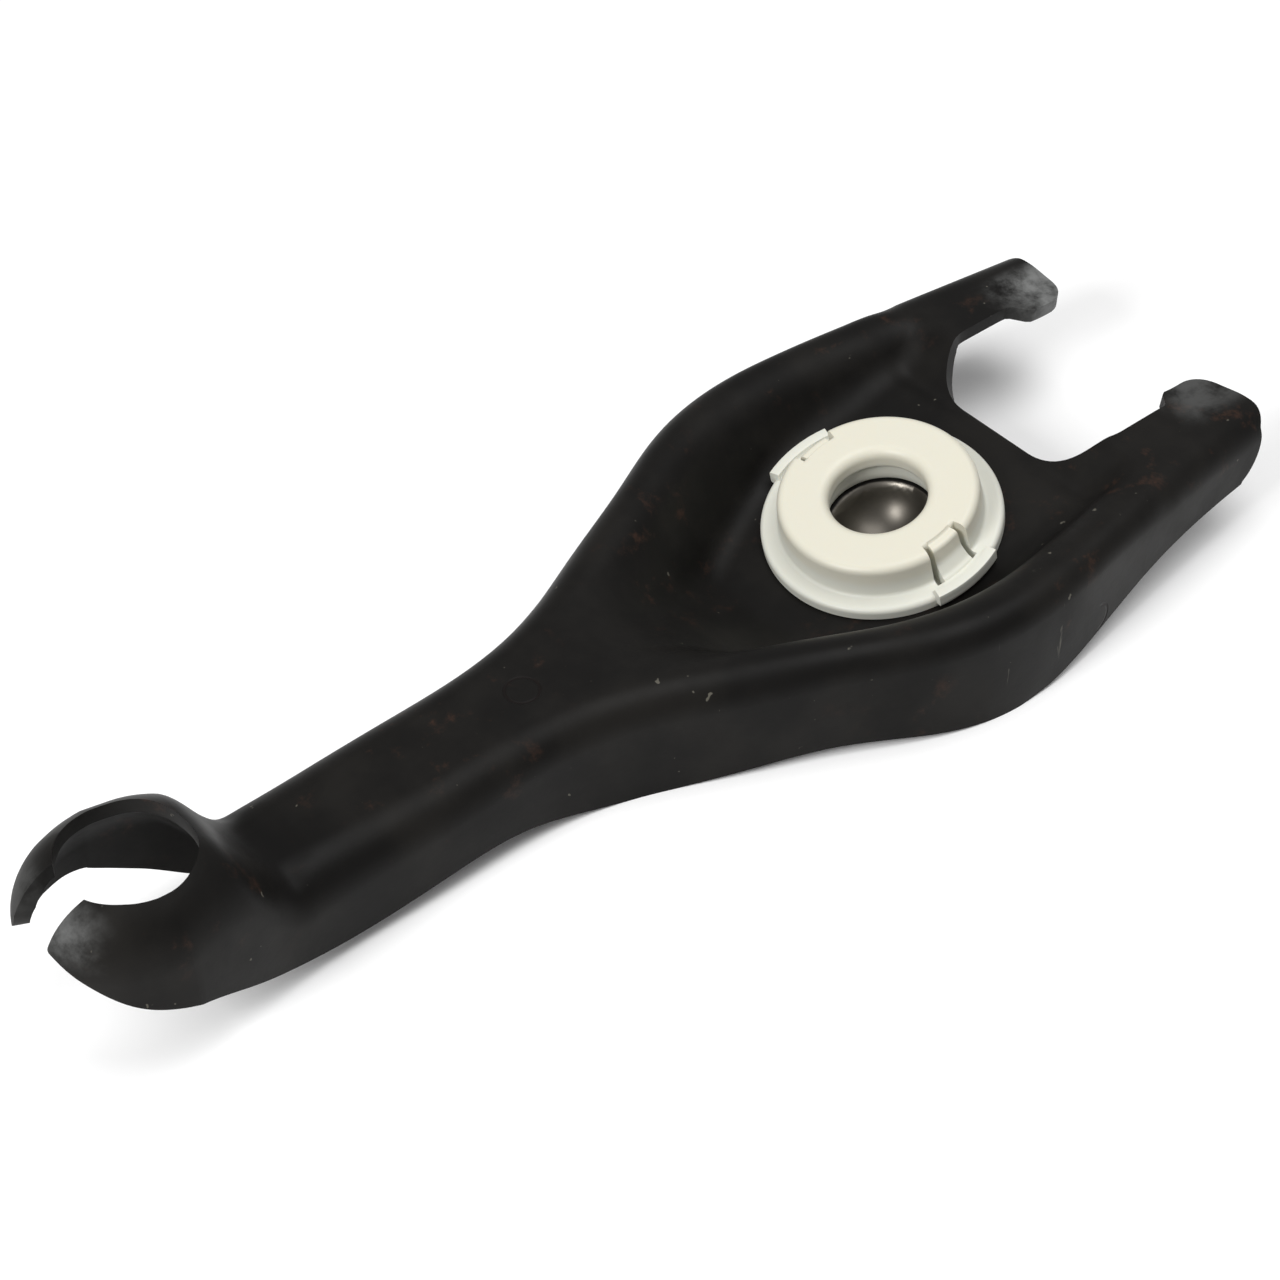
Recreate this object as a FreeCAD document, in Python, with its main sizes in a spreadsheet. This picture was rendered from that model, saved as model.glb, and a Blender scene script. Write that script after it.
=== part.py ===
import FreeCAD, Part
import math
import os

import Sketcher

# Clutch release fork with its ball-stud retainer, in millimetres.
# Origin: centre of the pivot ball.  +X runs from the hook to the tines,
# +Z is the retainer side, and Y is the mirror plane's normal.
# The pocket floor that seats the retainer is pitched up towards the tines.

doc = FreeCAD.newDocument("clutch_fork")
sheet = doc.addObject("Spreadsheet::Sheet", "Sizes")

SIZES = [
    # sheet metal
    ("sheet_gauge", 3.0),
    ("wall_flare", 1.2),
    ("foot_radius", 4.0),
    ("ridge_radius", 7.0),
    ("shoulder_radius", 6.8),
    # stations along the fork, measured from the pivot ball
    ("x_hook", -176.0),
    ("x_ramp_foot", -153.0),
    ("x_ramp_top", -170.0),
    ("x_arm", -122.0),
    ("x_neck", -96.0),
    ("x_flare", -80.0),
    ("x_flank", -61.0),
    ("x_cheek", -42.0),
    ("x_brow", -25.0),
    ("x_head", -4.0),
    ("x_waist", 15.0),
    ("x_tine_root", 38.0),
    ("x_tip", 74.5),
    # half width over the side walls at those stations
    ("half_hook", 18.2),
    ("half_ramp", 13.9),
    ("half_arm", 13.7),
    ("half_neck", 14.1),
    ("half_flare", 17.3),
    ("half_flank", 25.7),
    ("half_cheek", 34.3),
    ("half_brow", 42.4),
    ("half_head", 46.6),
    ("half_waist", 45.2),
    ("half_tine_root", 42.0),
    ("half_tip", 37.2),
    # height of the top of the sheet
    ("top_arm", 6.9),
    ("top_neck", 7.5),
    ("top_flank", 8.4),
    ("top_head", 9.6),
    ("top_tine", 11.3),
    ("hook_rise", 13.0),
    # lower edge of the side walls: stations and heights
    ("x_lip", -195.5),
    ("x_bell_front", -188.0),
    ("x_bell_back", -164.0),
    ("x_arm_edge", -149.0),
    ("x_step", -103.0),
    ("x_neck_edge", -88.0),
    ("x_flank_edge", -45.0),
    ("x_cheek_edge", -2.0),
    ("x_notch", 33.0),
    ("edge_lip", 15.5),
    ("edge_bell_front", 6.6),
    ("edge_hook", 0.7),
    ("edge_bell_back", -5.9),
    ("edge_arm", -10.9),
    ("edge_neck", -14.4),
    ("edge_flank", -12.6),
    ("edge_head", -14.8),
    ("edge_notch", -6.0),
    ("edge_tip", -3.2),
    # pocket
    ("pocket_pitch", 14.3),
    ("seat_drop", 3.5),
    ("pocket_back", -28.0),
    ("pocket_apex", -80.0),
    ("crease", 28.5),
    ("lip_flat", 3.0),
    ("lip_ramp", 11.5),
    ("floor_half_head", 28.8),
    ("floor_half_brow", 20.5),
    ("floor_half_apex", 1.0),
    ("floor_half_crease", 28.3),
    ("floor_half_tip", 25.8),
    ("pocket_ease", 3.0),
    ("edge_break", 1.0),
    ("floor_half_flank", 5.0),
    # slot for the bearing sleeve
    ("slot_base", 33.0),
    ("slot_width", 44.6),
    ("slot_corner", 13.0),
    ("pad_gap", 37.2),
    ("pad_start", 59.0),
    ("pad_corner", 4.0),
    ("tip_corner", 5.0),
    # hook
    ("hole_radius", 12.0),
    ("bell_radius", 18.6),
    ("bell_flare", 1.4),
    ("bell_lip", 22.3),
    ("bell_shoulder", 6.4),
    ("hook_slot", 10.0),
    ("hook_tilt", 5.0),
    # pivot ball and socket
    ("ball_diameter", 22.2),
    ("ball_clearance", 0.1),
    # how deep and how far past the part the cutting tools run
    ("tool_depth", 30.0),
    ("tool_clear", 12.0),
    # coined marks
    ("mark_diameter", 6.8),
    ("mark_depth", 0.5),
    ("mark_x", -93.0),
    # retainer
    ("flange_diameter", 50.0),
    ("flange_height", 2.6),
    ("flange_rim", 3.8),
    ("cap_taper", 0.6),
    ("cap_height", 7.5),
    ("snap_bite", 1.0),
    ("throat_height", 4.2),
    ("cavity_space", 2.4),
    ("retainer_gap", 0.2),
    ("lip_land", 0.5),
    ("lip_depth", 1.5),
    ("tab_width", 8.0),
    ("tab_slot", 1.8),
    ("tab_wall", 3.9),
    ("tab_crest", 1.3),
    ("tab_reach", 1.4),
    ("tab_sink", 0.7),
    ("slot_window", 1.6),
    ("tool_run", 1.0),
    ("bar_length", 13.0),
    ("bar_seat", 2.0),
    ("bar_proud", 0.7),
    ("bar_rise", 0.9),
    ("bar_skirt", 1.6),
    ("flange_bevel", 0.9),
    ("cap_bevel", 1.2),
]

for row, (alias, value) in enumerate(SIZES, start=1):
    sheet.set("A%d" % row, alias.replace("_", " "))
    sheet.set("B%d" % row, str(value))
    sheet.setAlias("B%d" % row, alias)
doc.recompute()


def size(alias):
    """Return one driving size from the sheet, in millimetres or degrees."""
    return float(getattr(sheet, alias))


Vector = FreeCAD.Vector
# limits of the section outlines
MIN_TURN = 0.01
LEAST_REACH = 0.3
FLAT = 1e-3
DEGREE = 3
SLOPE_STEP = 0.5
EDGE_POINTS = 60


def smooth_step(start, end, value):
    """Rise from 0 at start to 1 at end with level ends."""
    share = min(max((value - start) / (end - start), 0.0), 1.0)
    return share * share * (3.0 - 2.0 * share)


def smooth_line(places, values):
    """Return the natural cubic curve through the given stations as a function."""
    count = len(places)
    gaps = [places[i + 1] - places[i] for i in range(count - 1)]
    diagonal = [1.0] * count
    upper = [0.0] * count
    right = [0.0] * count
    for i in range(1, count - 1):
        rise = (values[i + 1] - values[i]) / gaps[i] - (values[i] - values[i - 1]) / gaps[i - 1]
        factor = gaps[i - 1] / diagonal[i - 1]
        diagonal[i] = 2.0 * (gaps[i - 1] + gaps[i]) - factor * upper[i - 1]
        upper[i] = gaps[i]
        right[i] = 6.0 * rise - factor * right[i - 1]
    bends = [0.0] * count
    for i in range(count - 2, 0, -1):
        bends[i] = (right[i] - upper[i] * bends[i + 1]) / diagonal[i]

    def height(place):
        if place <= places[0]:
            return values[0]
        if place >= places[-1]:
            return values[-1]
        i = max(k for k in range(count - 1) if places[k] <= place)
        gap = gaps[i]
        after = places[i + 1] - place
        before = place - places[i]
        curve = (bends[i] * after ** 3 + bends[i + 1] * before ** 3) / (6.0 * gap)
        left = (values[i] / gap - bends[i] * gap / 6.0) * after
        return curve + left + (values[i + 1] / gap - bends[i + 1] * gap / 6.0) * before

    return height


def rounded_edges(corners, radii):
    """Return the lines and arcs of a polyline whose inner corners are rounded."""
    edges = []
    last = len(corners) - 1
    start = corners[0]
    for i in range(1, last):
        corner = corners[i]
        back = corners[i - 1] - corner
        ahead = corners[i + 1] - corner
        turn = math.pi - back.getAngle(ahead)
        limit_back = back.Length if i == 1 else back.Length / 2.0
        limit_ahead = ahead.Length if i == last - 1 else ahead.Length / 2.0
        reach = min(radii[i - 1] * math.tan(turn / 2.0), limit_back, limit_ahead)
        if turn < MIN_TURN or reach < FLAT:
            if (corner - start).Length > FLAT:
                edges.append(Part.makeLine(start, corner))
            start = corner
            continue
        first = corner + back.normalize() * reach
        second = corner + ahead.normalize() * reach
        radius = reach / math.tan(turn / 2.0)
        inward = (back + ahead).normalize()
        middle = corner + inward * (math.hypot(reach, radius) - radius)
        if (first - start).Length > FLAT:
            edges.append(Part.makeLine(start, first))
        edges.append(Part.Arc(first, middle, second).toShape())
        start = second
    if (corners[last] - start).Length > FLAT:
        edges.append(Part.makeLine(start, corners[last]))
    return edges


pitch = math.radians(size("pocket_pitch"))
pitch_slope = math.tan(pitch)

outline = smooth_line(
    [size(name) for name in (
        "x_hook", "x_ramp_foot", "x_arm", "x_neck", "x_flare", "x_flank", "x_cheek",
        "x_brow", "x_head", "x_waist", "x_tine_root", "x_tip")],
    [size(name) for name in (
        "half_hook", "half_ramp", "half_arm", "half_neck", "half_flare", "half_flank", "half_cheek",
        "half_brow", "half_head", "half_waist", "half_tine_root", "half_tip")],
)
crown = smooth_line(
    [size(name) for name in ("x_arm", "x_neck", "x_flank", "x_head", "x_tine_root", "x_tip")],
    [size("top_arm"), size("top_neck"), size("top_flank"), size("top_head"), size("top_tine"),
     size("top_tine")],
)
floor_half = smooth_line(
    [size("pocket_apex"), size("x_flank"), size("x_brow"), 0.0, size("crease"), size("x_tip")],
    [size("floor_half_apex"), size("floor_half_flank"), size("floor_half_brow"), size("floor_half_head"),
     size("floor_half_crease"), size("floor_half_tip")],
)


def top_height(x):
    """Height of the ridge tops, the arm's flat and the tines, with the rise to the hook."""
    rise = size("hook_rise") * smooth_step(size("x_ramp_foot"), size("x_ramp_top"), x)
    return crown(x) + rise


def seat_height(x):
    """Height of the pitched seat plane of the pocket."""
    return pitch_slope * x - size("seat_drop") / math.cos(pitch)


def floor_height(x):
    """Height of the pocket floor: seat plane, level lip, and blends to the arm and tines."""
    crease = size("crease")
    top = top_height(x)
    if x > crease:
        ramp_start = crease + size("lip_flat")
        ramp = smooth_step(ramp_start, ramp_start + size("lip_ramp"), x)
        return seat_height(crease) * (1.0 - ramp) + top * ramp
    back = size("pocket_back")
    rise = smooth_step(back, size("pocket_apex"), x)
    return max(seat_height(x), seat_height(back - size("pocket_ease"))) * (1.0 - rise) + top * rise


def section_corners(x, deep):
    """Corners of the outer skin's half section: floor, pocket wall, ridge, side wall down to deep."""
    top = top_height(x)
    wall = outline(x)
    floor = min(floor_height(x), top)
    shoulder = size("shoulder_radius")
    run = max(wall - shoulder - floor_half(x), LEAST_REACH)
    crest = wall - shoulder - size("ridge_radius") * math.tan(math.atan2(top - floor, run) / 2.0)
    foot = min(floor_half(x), crest - size("sheet_gauge"))
    flare = size("wall_flare") * (top - deep) / (top - size("edge_head"))
    return [
        Vector(x, 0.0, floor),
        Vector(x, foot, floor),
        Vector(x, crest, top),
        Vector(x, wall, top),
        Vector(x, wall + flare, deep),
    ]


def sunk_corners(x, deep, depth):
    """Corners of the inner skin: every straight of the section moved in by the gauge, square to the sheet."""
    corners = section_corners(x, deep)
    before = section_corners(x - SLOPE_STEP, deep)
    after = section_corners(x + SLOPE_STEP, deep)
    lines = []
    for i in range(len(corners) - 1):
        along = (corners[i + 1] - corners[i]).normalize()
        inward = Vector(0.0, along.z, -along.y)
        drift = (after[i] - before[i] + after[i + 1] - before[i + 1]) / (4.0 * SLOPE_STEP)
        slope = drift.y * inward.y + drift.z * inward.z
        lines.append((corners[i], along, inward, depth * math.hypot(1.0, slope)))
    result = [corners[0] + lines[0][2] * lines[0][3]]
    for (start, along, inward, far), (corner, ahead, inside, reach) in zip(lines, lines[1:]):
        sine = along.y * ahead.z - along.z * ahead.y
        if abs(sine) < MIN_TURN:
            result.append(corner + (inward + inside) * (far + reach) / 4.0)
            continue
        first = start + inward * far
        gap = corner + inside * reach - first
        share = (gap.y * ahead.z - gap.z * ahead.y) / sine
        result.append(first + along * share)
    last = corners[-1] + lines[-1][2] * lines[-1][3]
    result.append(last)
    return result


def bend_edges(corners, radii):
    """Straights and circular bends of a half section; every section has the same number of each."""
    edges = []
    start = corners[0]
    last = len(corners) - 1
    for i in range(1, last):
        corner = corners[i]
        back = corners[i - 1] - corner
        ahead = corners[i + 1] - corner
        turn = math.pi - back.getAngle(ahead)
        room_back = back.Length if i == 1 else back.Length / 2.0
        room_ahead = ahead.Length if i == last - 1 else ahead.Length / 2.0
        reach = max(radii[i - 1] * math.tan(turn / 2.0), LEAST_REACH)
        reach = min(reach, room_back - LEAST_REACH / 2.0, room_ahead - LEAST_REACH / 2.0)
        first = corner + back.normalize() * reach
        second = corner + ahead.normalize() * reach
        bend = Part.BezierCurve()
        bend.setPoles([first, corner, second])
        bend.setWeight(2, math.cos(turn / 2.0))
        edges.append(Part.makeLine(start, first))
        edges.append(bend.toShape())
        start = second
    edges.append(Part.makeLine(start, corners[last]))
    return edges


def section_wire(corners, radii):
    """Close a half section with its mirror image and a flat bottom."""
    half = bend_edges(corners, radii)
    other = [edge.mirror(Vector(), Vector(0.0, 1.0, 0.0)) for edge in half]
    foot = corners[-1]
    bottom = Part.makeLine(foot, Vector(foot.x, -foot.y, foot.z))
    return Part.Wire(Part.__sortEdges__(other + half + [bottom]))


def row_places():
    """Places of the sections, closer together at the hook's ramp, the neck, the lip and the slot."""
    crease = size("crease")
    lip = crease + size("lip_flat")
    spans = [
        (size("x_hook"), 1),
        (size("x_ramp_top"), 4),
        (size("x_ramp_foot"), 2),
        (size("x_neck"), 2),
        (size("pocket_apex"), 5),
        (size("pocket_back"), 4),
        (size("x_waist"), 1),
        (crease, 1),
        (lip, 3),
        (lip + size("lip_ramp"), 2),
        (size("x_tip") + size("tool_clear"), 0),
    ]
    places = []
    for (start, steps), (end, _) in zip(spans, spans[1:]):
        places.extend(start + (end - start) * i / steps for i in range(steps))
    places.append(spans[-1][0])
    return places


def feature(name, shape):
    """Add a plain shape to the document under a name."""
    item = doc.addObject("Part::Feature", name)
    item.Shape = shape
    return item


def lofted(name, corner_rule, radii):
    """Loft straight from section to section through the corners that a rule gives."""
    loft = doc.addObject("Part::Loft", name)
    loft.Sections = [
        feature("%s_section_%02d" % (name, k), section_wire(corner_rule(x), radii))
        for k, x in enumerate(row_places())
    ]
    loft.Solid = True
    loft.Ruled = True
    return loft


def bell(radius, lip, shoulder, low):
    """Return the closed bell of the hook: flat top, rounded shoulder, slightly flared wall."""
    axis = size("x_hook")
    flare = size("bell_flare") * (lip - low) / (size("bell_lip") - size("edge_hook"))
    corners = [
        Vector(axis, 0.0, lip),
        Vector(axis + radius, 0.0, lip),
        Vector(axis + radius + flare, 0.0, low),
    ]
    edges = rounded_edges(corners, [shoulder])
    edges.append(Part.makeLine(corners[-1], Vector(axis, 0.0, low)))
    edges.append(Part.makeLine(Vector(axis, 0.0, low), corners[0]))
    profile = Part.Face(Part.Wire(Part.__sortEdges__(edges)))
    solid = profile.revolve(Vector(axis, 0.0, 0.0), Vector(0.0, 0.0, 1.0), 360.0)
    solid.rotate(Vector(axis, 0.0, lip), Vector(0.0, 1.0, 0.0), size("hook_tilt"))
    return solid


def plan_tool():
    """Return the plan cutter of the sleeve slot, the pads' inner edges and the tine ends."""
    half_slot = size("slot_width") / 2.0
    half_gap = size("pad_gap") / 2.0
    step = half_slot - half_gap
    tip = size("x_tip")
    clear = 2.0 * size("tool_clear")
    low = -2.0 * size("tool_depth")
    wide = size("half_head") + clear
    side = [
        (size("slot_base"), half_slot, size("slot_corner")),
        (size("pad_start"), half_slot, size("pad_corner") / 2.0),
        (size("pad_start") + step, half_gap, size("pad_corner")),
        (tip - size("tip_corner"), half_gap, size("pad_corner")),
        (tip, half_gap + size("tip_corner"), size("edge_break")),
        (tip, size("half_tip") - size("edge_break"), size("tip_corner") * 2.0),
        (tip - size("tip_corner"), wide, size("edge_break")),
    ]
    corners = [Vector(x, y, low) for x, y, radius in side]
    radii = [radius for x, y, radius in side]
    mirrored = [Vector(p.x, -p.y, p.z) for p in reversed(corners)]
    corners = mirrored + corners
    radii = list(reversed(radii)) + radii
    start = Vector(tip + clear, -wide, low)
    end = Vector(tip + clear, wide, low)
    edges = rounded_edges([start] + corners + [end], radii)
    edges.append(Part.makeLine(end, start))
    return Part.Face(Part.Wire(Part.__sortEdges__(edges))).extrude(Vector(0.0, 0.0, -2.0 * low))


def edge_tool():
    """Return the cutter below the side walls, whose upper face follows their lower edge."""
    stations = [
        ("x_lip", "edge_lip"),
        ("x_bell_front", "edge_bell_front"),
        ("x_hook", "edge_hook"),
        ("x_bell_back", "edge_bell_back"),
        ("x_arm_edge", "edge_arm"),
        ("x_step", "edge_arm"),
        ("x_neck_edge", "edge_neck"),
        ("x_flank_edge", "edge_flank"),
        ("x_cheek_edge", "edge_head"),
        ("x_notch", "edge_notch"),
        ("x_tip", "edge_tip"),
    ]
    clear = 2.0 * size("tool_clear")
    low = -2.0 * size("tool_depth")
    wide = size("half_head") + clear
    line = smooth_line([size(x) for x, z in stations], [size(z) for x, z in stations])
    first = size("x_lip")
    last = size("x_tip") + clear
    count = EDGE_POINTS
    points = [Vector(first + (last - first) * i / count, -wide, 0.0) for i in range(count + 1)]
    for point in points:
        point.z = line(point.x)
    curve = Part.BSplineCurve()
    curve.buildFromPoles(points, False, DEGREE)
    low_first = Vector(first - clear, -wide, low)
    high_first = Vector(first - clear, -wide, points[0].z)
    low_last = Vector(last, -wide, low)
    edges = [
        curve.toShape(),
        Part.makeLine(points[-1], low_last),
        Part.makeLine(low_last, low_first),
        Part.makeLine(low_first, high_first),
        Part.makeLine(high_first, points[0]),
    ]
    face = Part.Face(Part.Wire(Part.__sortEdges__(edges)))
    return face.extrude(Vector(0.0, 2.0 * wide, 0.0))


def join(name, items):
    """Fuse document objects into one."""
    item = doc.addObject("Part::MultiFuse", name)
    item.Shapes = items
    return item


def cut(name, base, tool):
    """Subtract one document object from another."""
    item = doc.addObject("Part::Cut", name)
    item.Base = base
    item.Tool = tool
    return item


def bind(item, values):
    """Bind an object's sizes to cells of the sheet."""
    for path, expression in values.items():
        item.setExpression(path, expression)
    return item


def primitive(kind, name, values):
    """Add a Part primitive whose sizes are bound to cells of the sheet."""
    return bind(doc.addObject("Part::" + kind, name), values)


gauge = size("sheet_gauge")
deep = -size("tool_depth")
outer_radii = [size("foot_radius"), size("ridge_radius"), size("shoulder_radius")]
inner_radii = [size("foot_radius") + gauge, size("ridge_radius") - gauge, size("shoulder_radius") - gauge]
outer_skin = lofted("outer_skin", lambda x: section_corners(x, deep), outer_radii)
inner_skin = lofted("inner_skin", lambda x: sunk_corners(x, deep, gauge), inner_radii)
outer_bell = feature("outer_bell", bell(
    size("bell_radius"), size("bell_lip"), size("bell_shoulder"), deep))
inner_bell = feature("inner_bell", bell(
    size("bell_radius") - gauge, size("bell_lip") - gauge, size("bell_shoulder") - gauge, deep - gauge))

# tools of the hook: the hole down the bell's axis and the slot that opens it
hook_hole = primitive("Cylinder", "hook_hole", {
    "Radius": "Sizes.hole_radius",
    "Height": "2 * Sizes.tool_depth",
    "Placement.Base.x": "Sizes.x_hook",
    "Placement.Base.z": "-Sizes.tool_depth",
})
hook_slot = primitive("Box", "hook_slot_tool", {
    "Length": "Sizes.bell_radius * 2",
    "Width": "Sizes.hook_slot",
    "Height": "2 * Sizes.tool_depth",
    "Placement.Base.x": "Sizes.x_hook - Sizes.bell_radius * 2",
    "Placement.Base.y": "-Sizes.hook_slot / 2",
    "Placement.Base.z": "-Sizes.tool_depth",
})
# the pressed ball socket: a bulge under the floor and the ball seat cut into it
tilt = FreeCAD.Rotation(Vector(0.0, 1.0, 0.0), -size("pocket_pitch"))
socket_bulge = primitive("Sphere", "socket_bulge", {
    "Radius": "Sizes.ball_diameter / 2 + Sizes.ball_clearance + Sizes.sheet_gauge",
    "Angle2": "-asin((Sizes.seat_drop + Sizes.sheet_gauge / 2) / (Sizes.ball_diameter / 2"
              " + Sizes.ball_clearance + Sizes.sheet_gauge))",
})
socket_bulge.Placement = FreeCAD.Placement(Vector(), tilt)
ball_space = primitive("Sphere", "ball_space", {
    "Radius": "Sizes.ball_diameter / 2 + Sizes.ball_clearance",
})
# the coined mark on the arm
arm_mark = primitive("Cylinder", "arm_mark", {
    "Radius": "Sizes.mark_diameter / 2",
    "Height": "Sizes.tool_clear",
    "Placement.Base.x": "Sizes.mark_x",
})
arm_mark.Placement.Base.z = top_height(size("mark_x")) - size("mark_depth")

outer_form = join("outer_form", [outer_skin, outer_bell])
inner_form = join("inner_form", [inner_skin, inner_bell])
pressed_sheet = cut("pressed_sheet", outer_form, inner_form)
sheet_with_socket = join("sheet_with_socket", [pressed_sheet, socket_bulge])
trim_tools = join("trim_tools", [
    feature("plan_outline", plan_tool()),
    feature("lower_edge", edge_tool()),
    hook_hole, hook_slot, ball_space, arm_mark,
])
fork_lever = cut("fork_lever", sheet_with_socket, trim_tools)
fork_lever.Label = "fork_lever"
doc.recompute()


def sheet_value(text):
    """Work out an expression of sheet cells in plain millimetres."""
    probe = doc.getObject("probe") or doc.addObject("App::FeaturePython", "probe")
    if not hasattr(probe, "value"):
        probe.addProperty("App::PropertyFloat", "value")
    probe.setExpression("value", text)
    probe.recompute()
    return probe.value


def origin_plane(body, role):
    """Return one of a body's own origin planes."""
    return next(item for item in body.Origin.OriginFeatures if item.Role == role)


def closed_sketch(body, name, role, corners):
    """Draw a closed polygon in a body; each corner is a pair of expressions."""
    sketch = body.newObject("Sketcher::SketchObject", name)
    sketch.AttachmentSupport = (origin_plane(body, role), [""])
    sketch.MapMode = "FlatFace"
    places = [[sheet_value(text) for text in corner] for corner in corners]
    points = [Vector(x, y, 0.0) for x, y in places]
    count = len(points)
    for i in range(count):
        sketch.addGeometry(Part.LineSegment(points[i], points[(i + 1) % count]), False)
    for i in range(count):
        sketch.addConstraint(Sketcher.Constraint("Coincident", i, 2, (i + 1) % count, 1))
    for i, (x_text, y_text) in enumerate(corners):
        for kind, text, value in (("DistanceX", x_text, points[i].x), ("DistanceY", y_text, points[i].y)):
            index = sketch.addConstraint(Sketcher.Constraint(kind, -1, 1, i, 1, value))
            sketch.setExpression("Constraints[%d]" % index, text)
    return sketch


def revolved(body, sketch):
    """Revolve a sketch about its vertical axis."""
    item = body.newObject("PartDesign::Revolution", "turned_form")
    item.Profile = sketch
    item.ReferenceAxis = (sketch, ["V_Axis"])
    item.Angle = 360.0
    return item


def ring_fillet(body, base, name, ring_radius, ring_height, radius):
    """Round the circular edge of a body that lies at a radius and a height."""
    doc.recompute()
    goal_radius = sheet_value(ring_radius)
    goal_height = sheet_value(ring_height)
    edges = []
    for index, edge in enumerate(base.Shape.Edges, start=1):
        if edge.Curve.TypeId != "Part::GeomCircle":
            continue
        centre = edge.Curve.Center
        if abs(edge.Curve.Radius - goal_radius) < FLAT and abs(centre.z - goal_height) < FLAT:
            edges.append("Edge%d" % index)
    if not edges:
        raise RuntimeError("no ring for " + name)
    item = body.newObject("PartDesign::Fillet", name)
    item.Base = (base, edges)
    item.setExpression("Radius", radius)
    return item


def across(body, kind, name, corners, width):
    """Pad or pocket a YZ outline evenly to both sides of the mirror plane."""
    sketch = closed_sketch(body, name + "_outline", "YZ_Plane", corners)
    item = body.newObject("PartDesign::" + kind, name)
    item.Profile = sketch
    item.Midplane = True
    item.setExpression("Length", width)
    sketch.Visibility = False
    return item


def box_corners(low_y, high_y, low_z, high_z):
    """Return the corners of a rectangle given as expressions."""
    return [(low_y, low_z), (high_y, low_z), (high_y, high_z), (low_y, high_z)]


# the moulded retainer: flange, cap with a lipped throat, and two snap tabs
SEAT = "Sizes.retainer_gap - Sizes.seat_drop"
FLANGE = SEAT + " + Sizes.flange_height"
CAP = FLANGE + " + Sizes.cap_height"
THROAT = FLANGE + " + Sizes.throat_height"
RIM = "Sizes.flange_diameter / 2"
CAP_FOOT = RIM + " - Sizes.flange_rim"
CAP_EDGE = CAP_FOOT + " - Sizes.cap_taper"
BORE = "Sizes.ball_diameter / 2 - Sizes.snap_bite"
TAB_IN = CAP_FOOT + " - Sizes.tab_wall"
TAB_OUT = CAP_FOOT + " + Sizes.tab_reach"
NOTCH = "Sizes.tab_width + 2 * Sizes.tab_slot"

retainer = doc.addObject("PartDesign::Body", "ball_retainer")
retainer.Label = "ball_retainer"
profile = closed_sketch(retainer, "retainer_profile", "XZ_Plane", [
    ("Sizes.ball_diameter / 2 + Sizes.cavity_space", SEAT),
    (RIM, SEAT),
    (RIM, FLANGE + " - Sizes.flange_bevel"),
    (RIM + " - Sizes.flange_bevel", FLANGE),
    (CAP_FOOT, FLANGE),
    (CAP_EDGE, CAP + " - Sizes.cap_bevel"),
    (CAP_EDGE + " - Sizes.cap_bevel", CAP),
    (BORE, CAP),
    (BORE, THROAT + " - Sizes.lip_land"),
    (BORE + " + Sizes.lip_depth", THROAT + " - Sizes.lip_land - Sizes.lip_depth"),
])
turned = revolved(retainer, profile)
turned = ring_fillet(retainer, turned, "mouth_roll", BORE, CAP, "Sizes.cap_height - Sizes.throat_height")
notch = across(retainer, "Pocket", "tab_notch", box_corners(
    TAB_IN, TAB_OUT, FLANGE, CAP + " + Sizes.tool_run"), NOTCH)
window = across(retainer, "Pocket", "slot_windows", box_corners(
    TAB_OUT + " - Sizes.slot_window", TAB_OUT, SEAT + " - Sizes.tool_run",
    FLANGE + " + Sizes.tool_run"), NOTCH)
tongue = across(retainer, "Pad", "tab_tongue", [
    (TAB_IN + " - Sizes.tab_sink", SEAT),
    (TAB_OUT, SEAT),
    (TAB_OUT, FLANGE + " + Sizes.tab_sink / 2"),
    (TAB_IN + " + Sizes.tab_crest * 2", FLANGE + " + Sizes.cap_height / 3"),
    (TAB_IN + " + Sizes.tab_crest", CAP + " - Sizes.tab_sink"),
    (TAB_IN + " - Sizes.tab_sink", CAP + " - Sizes.tab_sink"),
], "Sizes.tab_width")
bar = across(retainer, "Pad", "rim_bar", box_corners(
    RIM + " - Sizes.bar_seat", RIM + " + Sizes.bar_proud",
    FLANGE + " - Sizes.bar_skirt", FLANGE + " + Sizes.bar_rise"), "Sizes.bar_length")
pair = retainer.newObject("PartDesign::PolarPattern", "tab_pair")
pair.Originals = [notch, window, tongue, bar]
pair.Axis = (profile, ["V_Axis"])
pair.Angle = 360.0
pair.Occurrences = 2
retainer.Tip = pair
retainer.Placement = FreeCAD.Placement(Vector(), tilt)
doc.recompute()

for item in doc.Objects:
    if "Invalid" in item.State or "Error" in item.State:
        raise RuntimeError("not rebuilt: " + item.Name)

os.makedirs("parts", exist_ok=True)
for piece in (fork_lever, retainer):
    if piece.Shape.isNull() or not piece.Shape.isValid() or len(piece.Shape.Solids) != 1:
        raise RuntimeError("not one valid solid: " + piece.Label)
    piece.Shape.exportStep("parts/" + piece.Label + ".step")
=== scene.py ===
"""Looks of a pressed clutch release fork and its plastic ball retainer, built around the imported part."""

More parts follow.
